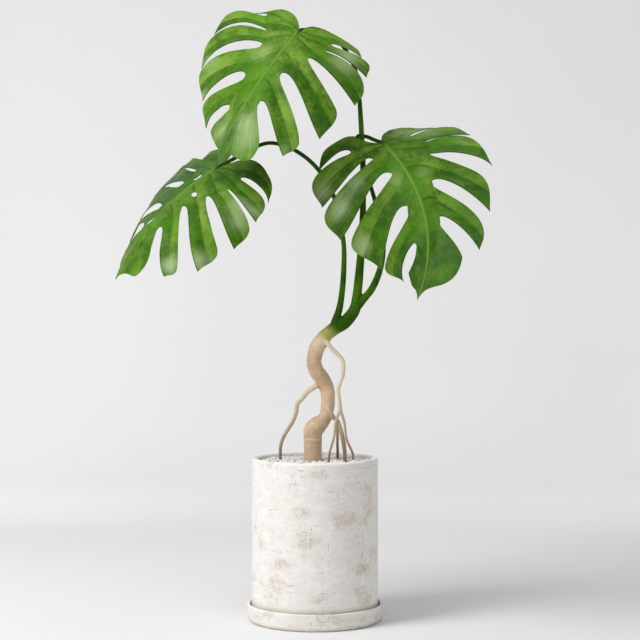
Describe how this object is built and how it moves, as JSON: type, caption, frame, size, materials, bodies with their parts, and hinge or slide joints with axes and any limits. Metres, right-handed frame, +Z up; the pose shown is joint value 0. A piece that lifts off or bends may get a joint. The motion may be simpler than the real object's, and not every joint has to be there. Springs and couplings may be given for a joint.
{
  "type": "potted monstera plant",
  "caption": "Monstera plant with deeply cut leaves on long petioles and aerial roots, in a straight-sided clay pot filled with soil and pebbles, standing on a saucer.",
  "frame": {"origin": "middle of the saucer's flat base, on the pot's axis", "axes": "+Z up, +X to the viewer's right in the picture, -Y towards the viewer"},
  "size_m": [0.7337, 0.4159, 1.2228],
  "materials": {
    "limewashed_clay": "matte limewash over fired clay",
    "potting_soil": "moist crumbly potting mix",
    "white_pebbles": "matte rounded pebbles",
    "tan_stem": "smooth tan bark",
    "green_petiole": "satin green",
    "leaf_blade": "satin waxy green"
  },
  "bodies": {
    "root": {"saucer": "limewashed_clay", "pot": "limewashed_clay", "potting_soil": "potting_soil", "pebbles": "white_pebbles", "stem": "tan_stem", "petioles": "green_petiole", "leaf_left": "leaf_blade", "leaf_top": "leaf_blade", "leaf_right": "leaf_blade"}
  },
  "joints": []
}
